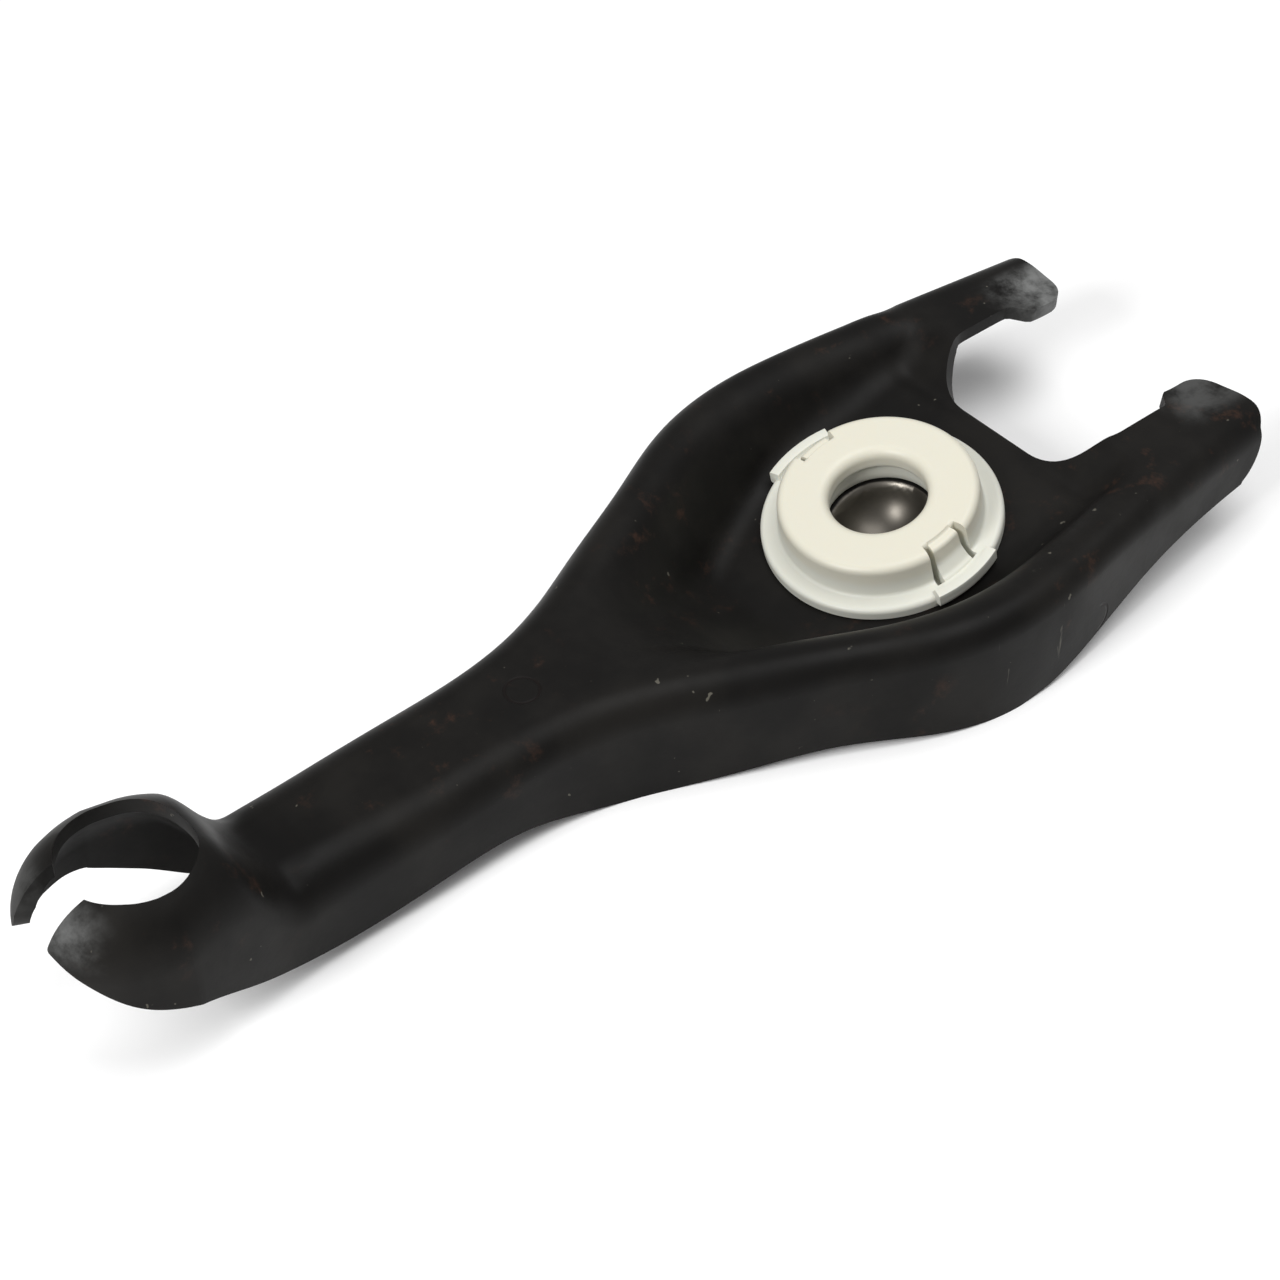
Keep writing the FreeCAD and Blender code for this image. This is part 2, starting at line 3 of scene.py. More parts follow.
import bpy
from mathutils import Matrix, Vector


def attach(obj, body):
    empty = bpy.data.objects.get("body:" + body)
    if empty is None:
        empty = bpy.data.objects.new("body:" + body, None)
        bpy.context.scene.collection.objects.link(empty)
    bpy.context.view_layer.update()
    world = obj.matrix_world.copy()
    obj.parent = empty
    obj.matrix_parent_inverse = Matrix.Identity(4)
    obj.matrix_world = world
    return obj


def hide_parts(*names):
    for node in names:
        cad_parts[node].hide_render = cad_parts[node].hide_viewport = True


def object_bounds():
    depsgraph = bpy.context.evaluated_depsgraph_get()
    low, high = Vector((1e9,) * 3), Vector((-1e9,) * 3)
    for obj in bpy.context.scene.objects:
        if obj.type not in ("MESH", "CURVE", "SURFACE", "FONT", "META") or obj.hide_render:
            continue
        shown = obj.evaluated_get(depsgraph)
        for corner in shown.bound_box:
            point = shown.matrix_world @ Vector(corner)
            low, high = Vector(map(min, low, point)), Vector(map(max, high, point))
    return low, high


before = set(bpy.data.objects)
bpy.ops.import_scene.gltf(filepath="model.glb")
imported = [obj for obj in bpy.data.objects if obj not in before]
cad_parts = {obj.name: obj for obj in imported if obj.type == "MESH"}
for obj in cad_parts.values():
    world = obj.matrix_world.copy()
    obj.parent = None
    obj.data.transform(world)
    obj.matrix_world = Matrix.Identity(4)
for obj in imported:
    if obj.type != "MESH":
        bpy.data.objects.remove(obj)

import math

import bpy
import numpy as np
from bpy.props import FloatProperty, FloatVectorProperty, PointerProperty
from mathutils import Matrix, Vector

bl_info = {
    "name": "Clutch fork looks",
    "version": (1, 0, 0),
    "blender": (4, 5, 0),
    "location": "View3D > Sidebar > Clutch fork",
    "description": "Builds the pressed lever, its retainer's finish and the stage around the packed part",
    "category": "Object",
}

CAD_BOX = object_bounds()
MM = 0.001

# stations along the lever, in millimetres from the pivot ball: place, then the value there
HALF_WIDTH = ((-176.0, 18.2), (-153.0, 13.9), (-122.0, 13.7), (-96.0, 14.1), (-80.0, 17.3), (-61.0, 25.7),
              (-42.0, 34.3), (-25.0, 42.4), (-4.0, 46.6), (15.0, 45.2), (38.0, 42.0), (74.5, 37.9))
CROWN = ((-122.0, 6.9), (-96.0, 7.5), (-61.0, 8.4), (-4.0, 9.6), (38.0, 11.3), (74.5, 11.3))
LOWER_EDGE = ((-197.2, 16.8), (-188.0, 6.6), (-176.0, 0.7), (-164.0, -5.9), (-149.0, -10.9), (-103.0, -10.9),
              (-88.0, -14.4), (-45.0, -12.6), (-2.0, -14.8), (33.0, -6.0), (74.5, -3.2))
FLOOR_HALF = ((-80.0, 1.0), (-61.0, 5.0), (-25.0, 20.5), (0.0, 28.8), (28.5, 28.3), (74.5, 25.8))

# the section's bends and the sheet
GAUGE = 3.0
WALL_FLARE = 1.2
FOOT_RADIUS = 8.0
RIDGE_RADIUS = 8.5
SHOULDER = ((-176.0, 14.0), (-164.0, 12.0), (-153.0, 9.8), (-138.0, 8.4), (-122.0, 7.8), (-80.0, 6.8),
            (74.5, 6.8))
HEAD_LOW = -14.8
# flat that stays between the mirror plane and a shoulder, and between a foot and a ridge's crest
SHOULDER_ROOM = 3.6
CREST_ROOM = 2.5
# least run of a bend along each straight, and the share of a straight that a bend may take
LEAST_REACH = 0.6
BEND_SHARE = 0.49
WALL_SHARE = 0.95
BEND_GAP = 0.05
# points of two patches closer than this are one
SEAM = 0.02

# the pocket
PITCH = math.radians(14.3)
SEAT_DROP = 3.5
SEAT_SOFTNESS = 0.8
SEAT_BACK_SOFTNESS = 2.0
SEAT_FADE = 3.0
POCKET_BACK = -28.0
POCKET_APEX = -80.0
CREASE = 28.5
LIP_FLAT = 3.0
LIP_RAMP = 11.5
BALL_SPACE = 11.2

# the slot and its pads
SLOT_BASE = 33.0
SLOT_HALF = 22.3
SLOT_CORNER = 13.0
PAD_STEP = 3.7
PAD_START = 59.0
PAD_LEAD = 4.2
TIP = 74.5
PAD_NOSE = 5.6
TIP_ROUND = 4.5
TIP_FALL = 8.0
PAD_DROOP = 1.1
# the droop's start and end along the lever, and from the ridge in towards the slot
DROOP_ALONG = (56.0, 67.0)
DROOP_ACROSS = (31.0, 22.0)
# how much of a quarter circle the end's outer and lower corners take
TIP_OUTER_SHARE = 0.85
TIP_LOWER_SHARE = 0.95

# the hook
HOOK = -176.0
HOLE = 12.0
BELL_LIP = 22.3
BELL_FLARE = 1.4
HOOK_TILT = math.radians(5.0)
HOOK_SLOT = 10.0
RAMP_FOOT = -149.5
DOME_START = 4.6
DOME_RADIUS = 14.0
DOME_RISE = 2.25
FINGER_REACH = 20.2
FINGER_SHOULDER = 12.0
# far and near finger: rounding of the lower corner, and how far its lower edge lies above the bell's
FINGERS = ((1.0, 9.5, -7.6), (-1.0, 0.6, 0.0))
# how much shorter the hook's far wall is than its near one, and below which height it is drawn up
FAR_WALL_LIFT = 4.3
FAR_WALL_TOP = 12.0
FAR_WALL_LEAST = 8.0
FAR_WALL_ALONG = (-168.0, -150.0)
FAR_WALL_ACROSS = (2.0, 8.0)
# the cut round the hole stands upright and leans back to the sheet's own thickness over this width
UPRIGHT_WIDTH = 5.0
UPRIGHT_DROP = 0.3

# the flat coined across the arm's end: its two ends along the lever, its edge across and its depth
BAND_START = (-155.0, -153.6)
BAND_END = (-146.1, -144.9)
BAND_EDGE = (6.5, 9.0)
BAND_DEPTH = 0.16
# the pinch in the shoulders beside it: place, spread and depth
PINCH_PLACE = (-151.5, 9.5)
PINCH_SPREAD = (2.6, 2.2)
PINCH_DEPTH = 0.45

# share of the column coordinate at which each straight or bend of the section ends
COLUMN_BREAKS = (0.0, 0.26, 0.36, 0.46, 0.60, 0.64, 0.78, 1.0)
COLUMN_STEPS = (28, 7, 5, 10, 3, 16, 14)


def smooth_step(start, end, value):
    """Rise from 0 at start to 1 at end along 3s^2 - 2s^3, level at both ends."""
    share = np.clip((value - start) / (end - start), 0.0, 1.0)
    return share * share * (3.0 - 2.0 * share)


def smooth_line(stations):
    """Return the natural cubic curve through (place, value) stations; it stays level beyond them."""
    places, values = (np.array(column, float) for column in zip(*stations))
    gaps = np.diff(places)
    count = len(places)
    matrix = np.eye(count)
    inner = np.arange(1, count - 1)
    matrix[inner, inner - 1] = gaps[:-1]
    matrix[inner, inner] = 2.0 * (gaps[:-1] + gaps[1:])
    matrix[inner, inner + 1] = gaps[1:]
    right = np.zeros(count)
    right[1:-1] = 6.0 * np.diff(np.diff(values) / gaps)
    bends = np.linalg.solve(matrix, right)

    def value_at(place):
        held = np.clip(place, places[0], places[-1])
        i = np.clip(np.searchsorted(places, held, side="right") - 1, 0, count - 2)
        gap = gaps[i]
        after = places[i + 1] - held
        before = held - places[i]
        curve = (bends[i] * after ** 3 + bends[i + 1] * before ** 3) / (6.0 * gap)
        left = (values[i] / gap - bends[i] * gap / 6.0) * after
        return curve + left + (values[i + 1] / gap - bends[i + 1] * gap / 6.0) * before

    return value_at


half_width = smooth_line(HALF_WIDTH)
crown = smooth_line(CROWN)
lower_edge = smooth_line(LOWER_EDGE)
floor_half = smooth_line(FLOOR_HALF)
shoulder_line = smooth_line(SHOULDER)


def hook_top(x):
    """Height of the hook's tilted top plane at a place along the lever."""
    return BELL_LIP - math.tan(HOOK_TILT) * (x - HOOK)


def top_height(x):
    """Height of the sheet's top: the arm and ridges, then a ramp up to the hook's tilted plane."""
    ramp = smooth_step(RAMP_FOOT, HOOK + HOLE + 0.5, x)
    drop = np.clip(x - HOOK - DOME_START, 0.0, None) ** 2 / (2.0 * DOME_RADIUS)
    return crown(x) * (1.0 - ramp) + (hook_top(x) + DOME_RISE - drop) * ramp


def seat_height(x):
    """Height of the pitched plane that the retainer sits on."""
    return math.tan(PITCH) * x - SEAT_DROP / math.cos(PITCH)


def floor_height(x):
    """Height of the pocket floor: pitched seat, level lip at the slot, and blends to the arm and tines."""
    top = top_height(x)
    ramp = smooth_step(CREASE + LIP_FLAT, CREASE + LIP_FLAT + LIP_RAMP, x)
    front = seat_height(CREASE) * (1.0 - ramp) + top * ramp
    rise = smooth_step(POCKET_BACK, POCKET_APEX, x)
    back = np.maximum(seat_height(x), seat_height(POCKET_BACK - 3.0)) * (1.0 - rise) + top * rise
    return np.minimum(np.where(x > CREASE, front, back), top)


def bend_point(corner, first, second, share):
    """Point of the circular arc that joins first to second round a corner, as a weighted conic."""
    one = first - corner
    two = second - corner
    lengths = np.sqrt((one ** 2).sum(-1) * (two ** 2).sum(-1))
    cosine = np.clip((one * two).sum(-1) / np.maximum(lengths, 1e-9), -1.0, 1.0)
    weight = np.sin(np.arccos(cosine) / 2.0)[..., None]
    s = share[..., None]
    top = (1 - s) ** 2 * first + 2 * s * (1 - s) * weight * corner + s ** 2 * second
    return top / ((1 - s) ** 2 + 2 * s * (1 - s) * weight + s ** 2)


def section_point(x, column, wall=None, low=None, top=None, shoulder=None):
    """Point (y, z) of one half of the outer skin's section.

    The section is a polyline: floor, pocket wall, ridge top and side wall, with a circular bend at
    each corner.  column runs from 0 on the mirror plane to 1 at the lower edge.
    """
    x, column = np.broadcast_arrays(np.asarray(x, float), np.asarray(column, float))
    wall = half_width(x) if wall is None else np.broadcast_to(wall, x.shape)
    low = lower_edge(x) if low is None else np.broadcast_to(low, x.shape)
    top = top_height(x) if top is None else np.broadcast_to(top, x.shape)
    floor = np.minimum(floor_height(x), top)
    flare = WALL_FLARE * (top - low) / (top - HEAD_LOW)
    shoulder = shoulder_line(x) if shoulder is None else np.broadcast_to(shoulder, x.shape)
    shoulder = np.minimum(shoulder, wall - SHOULDER_ROOM)
    drop = top - floor
    run = np.maximum(wall - shoulder - floor_half(x), 0.1)
    crest = wall - shoulder - RIDGE_RADIUS * np.tan(np.arctan2(drop, run) / 2.0)
    foot = np.minimum(floor_half(x), crest - CREST_ROOM)
    zero = np.zeros_like(x)
    corners = [np.stack(pair, -1) for pair in (
        (zero, floor), (foot, floor), (crest, top), (wall, top), (wall + flare, low))]
    ends = [corners[0]]
    arms = [corners[i + 1] - corners[i] for i in range(4)]
    lengths = [np.maximum(np.linalg.norm(arm, axis=-1), 1e-9) for arm in arms]
    radii = (FOOT_RADIUS, RIDGE_RADIUS, shoulder)
    taken = 0.0
    for i in range(3):
        back = -arms[i] / lengths[i][..., None]
        ahead = arms[i + 1] / lengths[i + 1][..., None]
        inside = np.arccos(np.clip((back * ahead).sum(-1), -1.0, 1.0))
        reach = radii[i] * np.tan((math.pi - inside) / 2.0)
        reach = np.clip(reach, LEAST_REACH, None)
        room = lengths[i] - taken if i == 2 else lengths[i] * (1.0 if i == 0 else BEND_SHARE)
        reach = np.minimum(reach, np.minimum(room, lengths[i + 1] * (WALL_SHARE if i == 2 else BEND_SHARE)))
        taken = reach + BEND_GAP
        ends.append(corners[i + 1] + back * reach[..., None])
        ends.append(corners[i + 1] + ahead * reach[..., None])
    ends.append(corners[4])
    breaks = np.array(COLUMN_BREAKS)
    part = np.clip(np.searchsorted(breaks, column, side="right") - 1, 0, 6)
    share = (column - breaks[part]) / (breaks[part + 1] - breaks[part])
    point = np.zeros(x.shape + (2,))
    for k in range(7):
        if k % 2 == 0:
            place = ends[k] + (ends[k + 1] - ends[k]) * share[..., None]
        else:
            place = bend_point(corners[(k + 1) // 2], ends[k], ends[k + 1], share)
        point = np.where((part == k)[..., None], place, point)
    return point[..., 0], point[..., 1]


def halved(start, end, is_before):
    """Halve a range of column coordinates until is_before changes inside it."""
    low = np.array(start, float)
    high = np.array(end, float)
    for _ in range(40):
        middle = (low + high) / 2.0
        before = is_before(middle)
        low = np.where(before, middle, low)
        high = np.where(before, high, middle)
    return (low + high) / 2.0


def column_at(x, y, **section):
    """Column coordinate at which the top of the section reaches a distance from the mirror plane."""
    return halved(np.zeros_like(x), np.full_like(x, COLUMN_BREAKS[6]),
                  lambda column: section_point(x, column, **section)[0] < y)


def section_columns():
    """Column coordinates with an even count over each straight and bend."""
    parts = [np.linspace(a, b, steps, endpoint=False)
             for a, b, steps in zip(COLUMN_BREAKS[:-1], COLUMN_BREAKS[1:], COLUMN_STEPS)]
    return np.append(np.concatenate(parts), 1.0)


def spans(*stops):
    """Places along the lever, from (start, steps) pairs up to a last stop, evenly spaced in between."""
    parts = [np.linspace(a[0], b[0], a[1], endpoint=False) for a, b in zip(stops[:-1], stops[1:])]
    return np.append(np.concatenate(parts), stops[-1][0])


def body_patch():
    """The arm and head: sections at every place from the hook's hole to the slot's base."""
    x = spans((HOOK + HOLE, 24), (-142.0, 20), (POCKET_APEX, 30), (-15.0, 34), (15.0, 13),
              (CREASE - 2.0, 8), (SLOT_BASE, 0))
    x, column = np.meshgrid(x, section_columns(), indexing="ij")
    y, z = section_point(x, column)
    return np.stack((x, y, z), -1)


def slot_half(x):
    """Half width of the slot: a quarter-round corner, straight sides, and the pads' bulged inner edges."""
    along = np.clip(SLOT_BASE + SLOT_CORNER - x, 0.0, SLOT_CORNER)
    corner = SLOT_HALF - SLOT_CORNER + np.sqrt(SLOT_CORNER ** 2 - along ** 2)
    pad = PAD_STEP * smooth_step(PAD_START, PAD_START + PAD_LEAD, x)
    nose = np.clip(x - (TIP - PAD_NOSE), 0.0, PAD_NOSE)
    return corner - pad + PAD_NOSE - np.sqrt(PAD_NOSE ** 2 - nose ** 2)


def tine_patch():
    """One tine: rows run from the slot's edge out to the side wall, up to the rounded tip.

    Columns keep their places along the section, and those beyond the slot's edge gather on it.  Each
    column ends at TIP - R (1 - sqrt(1 - s^2)), where s rises from 0 towards 1 over the last R
    millimetres before the outer corner, and again before the lower one.
    """
    share = np.concatenate((0.15 * (1.0 - np.cos(np.linspace(0.0, math.pi / 2.0, 14))),
                            np.linspace(0.15, 0.86, 28)[1:],
                            0.86 + 0.14 * np.sin(np.linspace(0.0, math.pi / 2.0, 13))[1:]))
    inner = SLOT_BASE + (TIP - SLOT_BASE) * share
    across = section_columns()
    start = column_at(inner, slot_half(inner))
    start[0] = across[np.searchsorted(across, start[0])]
    column = np.maximum(across[None, :], start[:, None])
    y_tip, z_tip = section_point(np.full_like(across, TIP), column[-1])
    outward = np.clip((y_tip - half_width(TIP)) / TIP_ROUND + 1.0, 0.0, TIP_OUTER_SHARE)
    downward = np.clip((lower_edge(TIP) + TIP_FALL - z_tip) / TIP_FALL, 0.0, TIP_LOWER_SHARE)
    end = TIP - TIP_ROUND * (1.0 - np.sqrt(1.0 - outward ** 2))
    end = end - TIP_FALL * (1.0 - np.sqrt(1.0 - downward ** 2))
    x = SLOT_BASE + (end[None, :] - SLOT_BASE) * share[:, None]
    y, z = section_point(x, column)
    z = z - PAD_DROOP * smooth_step(*DROOP_ALONG, x) * smooth_step(*DROOP_ACROSS, y)
    return np.stack((x, y, z), -1)


def hole_patch():
    """The hook's root: rows run from the hole's rim out to the side wall, up to the bell's axis."""
    share = 1.0 - np.cos(np.linspace(0.0, math.pi / 2.0, 16))
    x = HOOK + HOLE - HOLE * share
    rim = np.sqrt(np.clip(HOLE ** 2 - (x - HOOK) ** 2, 0.0, None))
    start = column_at(x, rim)
    start[0] = 0.0
    column = np.maximum(section_columns()[None, :], start[:, None])
    x = np.broadcast_to(x[:, None], column.shape)
    y, z = section_point(x, column)
    return np.stack((x, y, z), -1)


def finger_patch(corner, lift):
    """One finger of the hook: the section at the bell's axis swung round it, up to the slot's edge.

    The dome flattens and widens towards the slot.  Rows are angles about the axis; along a row the
    section runs from the hole's rim down to the lower edge, which rises and has a rounded corner.
    """
    across = section_columns()[None, :]
    share = np.concatenate((np.linspace(0.0, 0.72, 34),
                            0.72 + 0.28 * np.sin(np.linspace(0.0, math.pi / 2.0, 18))[1:]))[:, None]
    turn = smooth_step(0.15, 1.0, share)
    wall = half_width(HOOK) + (FINGER_REACH - half_width(HOOK)) * turn
    shoulder = shoulder_line(HOOK) + (FINGER_SHOULDER - shoulder_line(HOOK)) * turn
    last = math.pi - np.arcsin(HOOK_SLOT / 2.0 / wall)
    angle = math.pi / 2.0 + (last - math.pi / 2.0) * share
    top = hook_top(HOOK + 0.5 * (HOLE + wall) * np.cos(angle)) + DOME_RISE * (1.0 - turn)
    away = np.clip(corner - wall * (last - angle), 0.0, corner)
    edge = lower_edge(HOOK + (wall + BELL_FLARE) * np.cos(angle)) + lift * turn
    edge = edge + corner - np.sqrt(corner ** 2 - away ** 2)
    axis = np.full_like(share, HOOK)
    section = {"wall": wall, "low": np.full_like(share, lower_edge(HOOK)), "top": top, "shoulder": shoulder}
    start = column_at(axis, HOLE, **section)
    end = halved(start, np.ones_like(share), lambda column: section_point(axis, column, **section)[1] > edge)
    column = np.clip(across, start, end)
    radius, z = section_point(axis, column, **section)
    angle = math.pi / 2.0 + (math.pi / 2.0 - np.arcsin(HOOK_SLOT / 2.0 / radius)) * share
    return np.stack((HOOK + radius * np.cos(angle), radius * np.sin(angle), z), -1)


def grid_faces(rows, columns, flip):
    """Quads of a grid whose points are numbered row by row."""
    index = np.arange(rows * columns).reshape(rows, columns)
    quads = np.stack((index[:-1, :-1], index[:-1, 1:], index[1:, 1:], index[1:, :-1]), -1).reshape(-1, 4)
    return quads[:, ::-1] if flip else quads


def merged_skin(patches):
    """Join the patches, each on its sides of the mirror plane, into one skin with shared seam points."""
    points = []
    faces = []
    count = 0
    for patch, flip, sides in patches:
        rows, columns = patch.shape[:2]
        for side in sides:
            points.append((patch * (1.0, side, 1.0)).reshape(-1, 3))
            faces.append(grid_faces(rows, columns, flip == (side > 0.0)) + count)
            count += rows * columns
    points = np.concatenate(points)
    faces = np.concatenate(faces)
    _, first, same = np.unique(np.round(points / SEAM).astype(np.int64), axis=0,
                               return_index=True, return_inverse=True)
    return points[first], same.reshape(-1)[faces]


def point_normals(points, faces):
    """Area-weighted normal at every point of a quad mesh."""
    corners = points[faces]
    normal = np.cross(corners[:, 2] - corners[:, 0], corners[:, 3] - corners[:, 1])
    total = np.zeros_like(points)
    for k in range(4):
        np.add.at(total, faces[:, k], normal)
    return total / np.maximum(np.linalg.norm(total, axis=1, keepdims=True), 1e-12)


def spread(values, faces, rounds):
    """Average a value at each point with its neighbours along the quads' edges, some rounds over."""
    for _ in range(rounds):
        total = np.zeros_like(values)
        weight = np.zeros(len(values))
        for k in range(4):
            a = faces[:, k]
            b = faces[:, (k + 1) % 4]
            np.add.at(total, a, values[b])
            np.add.at(total, b, values[a])
            np.add.at(weight, a, 1.0)
            np.add.at(weight, b, 1.0)
        values = 0.5 * values + 0.5 * total / np.maximum(weight, 1.0)[:, None]
    return values


def socket_depth(points, radius, drop, softness):
    """Depth of the pressed ball seat below the sheet: a sphere's cap with a softly rounded rim."""
    axis = np.array((-math.sin(PITCH), 0.0, math.cos(PITCH)))
    along = points @ axis
    out = np.linalg.norm(points - along[:, None] * axis, axis=1)
    cap = np.sqrt(np.clip(radius ** 2 - out ** 2, 0.0, None)) - drop
    cap = np.where(out > radius, -drop - 2.0 * (out - radius), cap)
    depth = 0.5 * (cap + np.sqrt(cap ** 2 + softness ** 2))
    fade = 1.0 - smooth_step(radius, radius + SEAT_FADE, out)
    inside = np.abs(along) < radius
    return np.where(inside, depth * fade, 0.0)[:, None] * -axis


def pressed_marks(points):
    """Depth of the shallow flat coined across the arm's end, and of the pinch in the shoulders beside it."""
    x, y, z = points.T
    band = smooth_step(*BAND_START, x) * (1.0 - smooth_step(*BAND_END, x))
    band = band * (1.0 - smooth_step(*BAND_EDGE, np.abs(y)))
    along = (x - PINCH_PLACE[0]) / PINCH_SPREAD[0]
    across = (np.abs(y) - PINCH_PLACE[1]) / PINCH_SPREAD[1]
    return BAND_DEPTH * band + PINCH_DEPTH * np.exp(-along ** 2 - across ** 2) * (z > 0.0)


def far_wall_lift(points):
    """How far each point of the hook's far wall is drawn up, so that the wall is the shorter one."""
    x, y, z = points.T
    share = (FAR_WALL_TOP - z) / np.maximum(FAR_WALL_TOP - lower_edge(x), FAR_WALL_LEAST)
    share = np.clip(share, 0.0, 1.0) * (1.0 - smooth_step(*FAR_WALL_ALONG, x))
    return FAR_WALL_LIFT * share * smooth_step(*FAR_WALL_ACROSS, y)


def lever_shape():
    """Outer and inner points of the pressed sheet, a gauge apart, with its quads and triangles."""
    both = (1.0, -1.0)
    patches = [(body_patch(), True, both), (tine_patch(), True, both), (hole_patch(), False, both)]
    patches += [(finger_patch(corner, lift), False, (side,)) for side, corner, lift in FINGERS]
    points, faces = merged_skin(patches)
    whole = (np.diff(np.sort(faces, axis=1), axis=1) > 0).all(axis=1)
    quads = faces[whole]
    slim = [list(dict.fromkeys(face)) for face in faces[~whole].tolist()]
    triangles = np.array([face for face in slim if len(face) == 3], int).reshape(-1, 3)
    normals = spread(point_normals(points, quads), quads, 2)
    normals /= np.maximum(np.linalg.norm(normals, axis=1, keepdims=True), 1e-12)
    inner = points - normals * GAUGE
    out = np.hypot(points[:, 0] - HOOK, points[:, 1])[:, None]
    upright = 1.0 - smooth_step(HOLE, HOLE + UPRIGHT_WIDTH, out)
    inner = upright * (points - (0.0, 0.0, GAUGE + UPRIGHT_DROP)) + (1.0 - upright) * inner
    outer = points + socket_depth(points, BALL_SPACE, SEAT_DROP, SEAT_SOFTNESS)
    inner = inner + socket_depth(inner, BALL_SPACE + GAUGE, SEAT_DROP + GAUGE, SEAT_BACK_SOFTNESS)
    outer[:, 2] -= pressed_marks(points)
    for skin in (outer, inner):
        skin[:, 2] += far_wall_lift(skin)
    low, high = (np.array(corner) / MM for corner in CAD_BOX)
    return np.clip(outer, low, high), np.clip(inner, low, high), quads, triangles


def rounded_path(corners, radii, count):
    """Even points along a polyline (radius, height) whose inner corners are circular bends."""
    corners = np.array(corners, float)
    parts = [corners[:1]]
    for before, corner, after, radius in zip(corners[:-2], corners[1:-1], corners[2:], radii):
        back = before - corner
        ahead = after - corner
        one, two = np.linalg.norm(back), np.linalg.norm(ahead)
        turn = math.pi - math.acos(np.clip(back @ ahead / (one * two), -1.0, 1.0))
        reach = min(radius * math.tan(turn / 2.0), 0.48 * one, 0.48 * two)
        first, second = corner + back / one * reach, corner + ahead / two * reach
        parts.append(bend_point(corner, first, second, np.linspace(0.0, 1.0, 12)))
    path = np.concatenate(parts + [corners[-1:]])
    run = np.concatenate(([0.0], np.cumsum(np.linalg.norm(np.diff(path, axis=0), axis=1))))
    even = np.linspace(0.0, run[-1], count)
    return np.stack((np.interp(even, run, path[:, 0]), np.interp(even, run, path[:, 1])), -1)


# the retainer's outline as (radius, height) about its own axis, from the throat round to the cavity
MOUTH = ((11.3, 1.2), (10.1, 2.4), (10.1, 6.8), (17.3, 6.8))
CAP_WALL = ((17.3, 6.8), (20.55, 6.8), (21.2, -0.7), (22.6, -0.7))
CAP_TONGUE = ((17.3, 6.8), (17.7, 6.15), (19.5, 6.15), (20.1, 2.2), (21.7, 0.0), (22.6, -0.5))
CAP_SLOT = ((17.3, 6.8), (17.9, 6.5), (18.1, -3.0), (22.4, -3.0), (22.6, -0.7))
FLANGE_RIM = ((22.6, -0.7), (25.0, -0.7), (25.0, -3.3))
FLANGE_BAR = ((22.6, -0.7), (23.7, -0.6), (24.0, 0.6), (26.2, 0.6), (26.2, -2.5), (25.0, -2.55), (25.0, -3.3))
CAVITY = ((25.0, -3.3), (11.45, -3.3), (11.3, 1.2))
# along the rim from a tab's centre, in millimetres: place, wall there, rim there
TAB_LINES = ((0.0, "tongue", "bar"), (1.4, "tongue", "bar"), (2.8, "tongue", "bar"), (3.55, "tongue", "bar"),
             (3.7, "slot", "bar"), (4.9, "slot", "bar"), (5.05, "wall", "bar"), (5.8, "wall", "bar"),
             (6.35, "wall", "bar"), (6.6, "wall", "rim"), (7.4, "wall", "rim"))
TAB_RADIUS = 20.6


def retainer_shape():
    """Points and faces of the retainer: its outline turned about the pitched axis.

    The outline changes near the tabs, which lie across the lever: a tongue between two slots in the
    cap's wall, and a raised bar on the flange's rim.
    """
    mouth = rounded_path(MOUTH, (0.4, 3.3), 26)
    walls = {"wall": rounded_path(CAP_WALL, (1.9, 1.3), 44),
             "tongue": rounded_path(CAP_TONGUE, (0.5, 1.0, 3.0, 1.5), 44),
             "slot": rounded_path(CAP_SLOT, (0.6, 0.4, 0.3), 44)}
    rims = {"rim": rounded_path(FLANGE_RIM, (1.1,), 22),
            "bar": rounded_path(FLANGE_BAR, (0.3, 0.3, 0.35, 0.3, 0.2), 22)}
    cavity = rounded_path(CAVITY, (0.4,), 16)
    half = [(place / TAB_RADIUS, wall, rim) for place, wall, rim in TAB_LINES]
    edge = half[-1][0]
    plain_turns = np.linspace(edge, math.pi - edge, 62)[1:-1]
    quarter = half + [(turn, "wall", "rim") for turn in plain_turns]
    lines = quarter + [(math.pi - turn, wall, rim) for turn, wall, rim in reversed(half)]
    lines = lines[:-1]
    lines += [(turn + math.pi, wall, rim) for turn, wall, rim in lines]
    turns = np.array([turn for turn, _, _ in lines])
    outlines = np.stack([np.concatenate((mouth[:-1], walls[wall][:-1], rims[rim][:-1], cavity[:-1]))
                         for _, wall, rim in lines])
    radius, height = outlines[..., 0], outlines[..., 1]
    x = radius * np.sin(turns)[:, None]
    y = radius * np.cos(turns)[:, None]
    points = np.stack((x * math.cos(PITCH) - height * math.sin(PITCH), y,
                       x * math.sin(PITCH) + height * math.cos(PITCH)), -1)
    rows, columns = radius.shape
    index = np.arange(rows * columns).reshape(rows, columns)
    below = np.roll(index, -1, axis=0)
    faces = np.stack((index, below, np.roll(below, -1, axis=1), np.roll(index, -1, axis=1)), -1)
    return points.reshape(-1, 3), faces.reshape(-1, 4)


def boundary_edges(*groups):
    """Directed edges that only one polygon uses, from groups of quads or triangles."""
    edges = np.concatenate([np.stack((group, np.roll(group, -1, axis=1)), -1).reshape(-1, 2)
                            for group in groups])
    low = edges.min(axis=1).astype(np.int64)
    high = edges.max(axis=1).astype(np.int64)
    _, inverse, counts = np.unique(low * (edges.max() + 1) + high, return_inverse=True,
                                   return_counts=True)
    return edges[counts[inverse.reshape(-1)] == 1]


